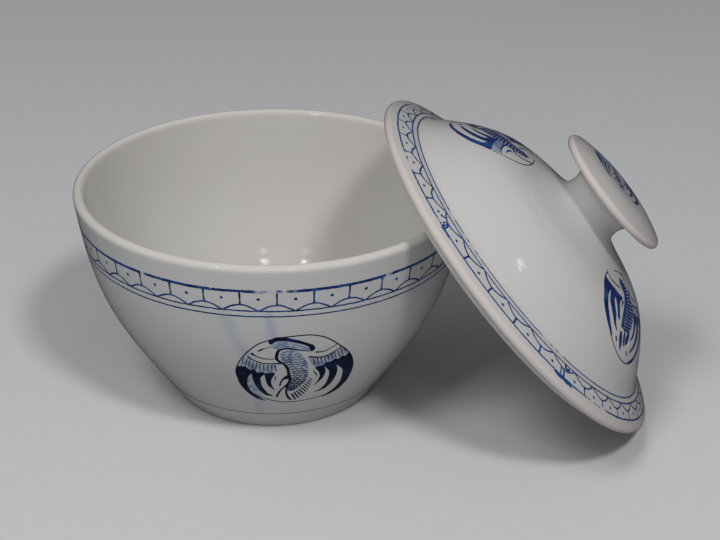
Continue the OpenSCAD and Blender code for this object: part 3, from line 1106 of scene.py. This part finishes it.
# Degrees from one divider to the next, which change at the joins of the lid's print.
BOWL_PITCH, LID_PITCH, UPPER_PITCH, LOWER_PITCH = 10.105, 9.7375, 10.84, 10
bowl_cell = border_cell([WALL_SKIN.length_to(1, z * MM) for z in BOWL_BORDER], BOWL_LINE, BOWL_TOP_LINE)
bowl_turns = [-267.8 + BOWL_PITCH * i for i in range(36)] + [92.2]
printed_border("bowl_border_print", "bowl_body", WALL_SKIN, bowl_cell, bowl_turns, BORDER_INK)

FOOT_LINE, FOOT_LINE_HALF = WALL_SKIN.length_to(1, 9.1 * MM) / MM, 0.2
FOOT_STEP = CELL_W / MM / 10
line_low, line_high = FOOT_LINE - FOOT_LINE_HALF, FOOT_LINE + FOOT_LINE_HALF
foot_cell = [
    [(x, line_low), (x + FOOT_STEP, line_low), (x + FOOT_STEP, line_high), (x, line_high)]
    for x in (CELL_START * CELL_W / MM + FOOT_STEP * i for i in range(10))
]
foot_turns = [-90 + 15 * i for i in range(25)]
printed_border("bowl_foot_line", "bowl_body", WALL_SKIN, foot_cell, foot_turns, BORDER_INK, 0.12 * MM)

# The strip of print round the lid was joined by hand at these turns.
UPPER_SEAM, LOWER_SEAM, SEAM_LENGTH = -134, -80, 65 * MM
lid_cell = border_cell([LID_SKIN.length_to(0, r * MM) for r in LID_BORDER], LID_LINE, LID_TOP_LINE)
lid_turns = [-290 + LID_PITCH * i for i in range(16)] + [-134.2 + UPPER_PITCH * i for i in range(5)]
lid_turns += [LOWER_SEAM + LOWER_PITCH * i for i in range(16)]
printed_border("lid_border_print", "lid_body", LID_SKIN, lid_cell, lid_turns, LID_BORDER_INK)


def roundel(name, body, skin, turn, length, radius, up, drawing, inks, stretch=1.0):
    """A printed roundel: the drawing's middle at this turn and length. Its top points towards longer
    lengths where up is 1 and shorter ones where it is -1."""
    middle = math.radians(turn)

    def place(across, rise_up, lift):
        along = length + up * rise_up * radius / 100
        r = skin.at_length(along)[0].x
        return skin.at(middle + across * stretch * radius / 100 / r, along, lift)

    dark, wash = drawing
    print_piece(name + "_ink", body, dark, [], place, ROUNDEL_GRID, inks[0])
    print_piece(name + "_wash", body, wash, dark, place, ROUNDEL_GRID, inks[1])


BOWL_CRANE, LID_CRANE = bowl_crane(random.Random(7)), lid_crane()
BOWL_CRANE_LENGTH, BOWL_CRANE_R = 32.41 * MM, 21.73 * MM
for side, turn in (("front", -79.61), ("right", 40.39), ("left", 160.39)):
    roundel(
        "bowl_crane_" + side, "bowl_body", WALL_SKIN, turn, BOWL_CRANE_LENGTH, BOWL_CRANE_R, 1,
        BOWL_CRANE, (CRANE_INK, BOWL_WASH)
    )
for side, turn, length, radius, stretch in (
    ("near", -43.9, 26.1, 18.1, 1.1), ("upper", 163, 27.6, 18, 1.08), ("far", 60.5, 27.2, 18, 1.08)
):
    roundel(
        "lid_crane_" + side, "lid_body", LID_SKIN, turn, length * MM, radius * MM, -1,
        LID_CRANE, (LID_INK, LID_WASH), stretch
    )

CROWN_CRANE_R, CROWN_CRANE_X, CROWN_CRANE_Y = 12.4 * MM, -2 * MM, 4.5 * MM


def crown_place(across, rise_up, lift):
    x = across * CROWN_CRANE_R / 100 + CROWN_CRANE_X
    y = rise_up * CROWN_CRANE_R / 100 + CROWN_CRANE_Y
    return CROWN_SKIN.at(math.atan2(y, x), max(math.hypot(x, y), 1e-6), lift)


crown_dark, crown_wash = BOWL_CRANE
print_piece("knob_crane_ink", "lid_body", crown_dark, [], crown_place, CROWN_GRID, LID_INK)
print_piece("knob_crane_wash", "lid_body", crown_wash, crown_dark, crown_place, CROWN_GRID, LID_WASH)


def seam_place(turn):
    """Places for a drawing in millimetres along the border from this turn, and up the lid from its outer
    base line."""

    def place(across, up, lift):
        along = SEAM_LENGTH - up * MM
        r = LID_SKIN.at_length(along)[0].x
        return LID_SKIN.at(math.radians(turn) + across * MM / r, along, lift * 1.5)

    return place


upper_seam = (
    [(-1.25, 1.2, 0.7), (-1.49, 2.6, 0.6), (-0.31, 3.1, 0.8), (0.71, 1.9, 0.7), (0.99, 0.2, 0.8)],
    [(-0.86, 1.35, 0.6), (0.34, 0.6, 0.7)],
    [(0.13, -0.3, 1.1), (1.86, -0.1, 1.0), (3.5, -0.1, 0.8), (4.98, -0.4, 0.6)],
    [(-4.75, 2.6, 1.2), (-3.9, 3.3, 0.8), (-3.17, 4.1, 0.6)],
)
lower_seam = (
    [(-5.39, -0.3, 0.7), (-2.28, -0.7, 1.4), (-0.28, -0.4, 1.2), (1.8, -0.7, 1.5), (3.35, -0.6, 1.2),
     (5.0, -1.2, 0.7)],
    [(2.0, 0.1, 0.8), (3.75, 0.1, 0.7), (7.75, 0.15, 0.6)],
    [(-0.2, 4.1, 0.7), (-0.15, 0.1, 1.0)],
    [(-1.75, 3.75, 0.6), (-1.9, 0.0, 0.6)],
    [(0.42, 6.8, 0.9), (1.07, 4.6, 1.3), (3.2, 5.5, 0.9)],
)
for name, lines, turn in (("upper", upper_seam, UPPER_SEAM), ("lower", lower_seam, LOWER_SEAM)):
    marks = strokes(*lines)
    print_piece("lid_border_seam_" + name, "lid_body", marks, [], seam_place(turn), 0, LID_BORDER_INK)


# Floor, light and camera

FLOOR_HALF, FLOOR_ROUGH, FLOOR_GRAIN = 3, 0.8, 0.05 * MM
STAGE_MIDDLE = Vector((35, 0, 50)) * MM
WORLD_LEVEL, MIRRORED_LEVEL = 0.2, 0.04
SOFTBOX_AWAY, LAMP_AWAY = 1.4, 1.3
CAMERA_PITCH, CAMERA_YAW, CAMERA_ROLL = (math.radians(a) for a in (-26.7466, -0.0892, 0.53))
CAMERA_SPOT = (0.034526, -0.591280, 0.345383)
CAMERA_LENS, CAMERA_SENSOR = 85, 36


def stage_floor():
    corners = [(x * FLOOR_HALF, y * FLOOR_HALF, 0) for x, y in ((-1, -1), (1, -1), (1, 1), (-1, 1))]
    floor = new_object("studio_floor", corners, [(0, 1, 2, 3)])
    made, g = material("studio_floor_paper")
    grain = g.noise(g.add("ShaderNodeTexCoord", out=3), 240, 3)
    colour = g.blend(grain, srgb(203, 204, 206), srgb(209, 210, 212))
    finish_surface(g, colour, FLOOR_ROUGH, grain * FLOOR_GRAIN, 0.0)
    floor.data.materials.append(made)
    floor.visible_glossy = False


def towards(turn, height, distance):
    """A place as seen from the middle of the object: turn about Z and height above level, in degrees."""
    level = math.cos(math.radians(height)) * distance
    return STAGE_MIDDLE + Vector((*way(turn) * level, math.sin(math.radians(height)) * distance))


def lamp_at(name, spot, size, power, mirrored, spin=0):
    """A lamp that faces the object, turned by spin degrees in its own plane. One that isn't mirrored lights
    the glaze but makes no reflection in it."""
    data = bpy.data.lights.new(name, "AREA")
    data.shape = "RECTANGLE"
    data.size, data.size_y = size
    data.energy = power
    lamp = linked(name, data)
    lamp.location = spot
    facing = (STAGE_MIDDLE - spot).to_track_quat("-Z", "Y")
    lamp.rotation_euler = (facing @ Quaternion((0, 0, 1), math.radians(spin))).to_euler()
    lamp.visible_glossy = mirrored


def studio_world():
    """Even white light from all round; the glaze mirrors a darker room."""
    world = bpy.data.worlds.new("studio")
    bpy.context.scene.world = world
    world.use_nodes = True
    world.node_tree.nodes.clear()
    g = Graph(world.node_tree)
    glossy = g.add("ShaderNodeLightPath", out="Is Glossy Ray")
    strength = WORLD_LEVEL + glossy * (MIRRORED_LEVEL - WORLD_LEVEL)
    room = g.add("ShaderNodeBackground", {"Color": (1, 1, 1, 1), "Strength": strength})
    g.output("ShaderNodeOutputWorld", "Surface", room)


def photo_camera():
    """The photograph's place and angle, fitted to the outlines of both pieces."""
    flat = math.cos(CAMERA_PITCH)
    ahead = Vector((flat * math.sin(CAMERA_YAW), flat * math.cos(CAMERA_YAW), math.sin(CAMERA_PITCH)))
    level = Vector((math.cos(CAMERA_YAW), -math.sin(CAMERA_YAW), 0))
    upright = level.cross(ahead)
    across = math.cos(CAMERA_ROLL) * level + math.sin(CAMERA_ROLL) * upright
    up = math.cos(CAMERA_ROLL) * upright - math.sin(CAMERA_ROLL) * level
    data = bpy.data.cameras.new("photo_camera")
    data.lens, data.sensor_width = CAMERA_LENS, CAMERA_SENSOR
    data.clip_start = 0.01
    camera = linked("photo_camera", data)
    turn = Matrix((across, up, -ahead)).transposed().to_4x4()
    camera.matrix_world = Matrix.Translation(CAMERA_SPOT) @ turn
    bpy.context.scene.camera = camera


stage_floor()
for side, turn, height, size, power in (("left", -125, 56, 0.4, 6.5), ("right", -66, 52, 0.18, 7.2)):
    lamp_at("softbox_" + side, towards(turn, height, SOFTBOX_AWAY), (size, size), power, False)
for side, turn, height, size, power, spin in (
    ("left", -120, 40.5, (0.09, 0.025), 0.4, 0),
    ("right", -17, 42.5, (0.12, 0.012), 0.06, 58),
    ("front", -79, 42.5, (0.08, 0.025), 0.3, 0),
):
    lamp_at("lamp_" + side, towards(turn, height, LAMP_AWAY), size, power, True, spin)
studio_world()
photo_camera()
bpy.context.scene.view_settings.view_transform = "Standard"
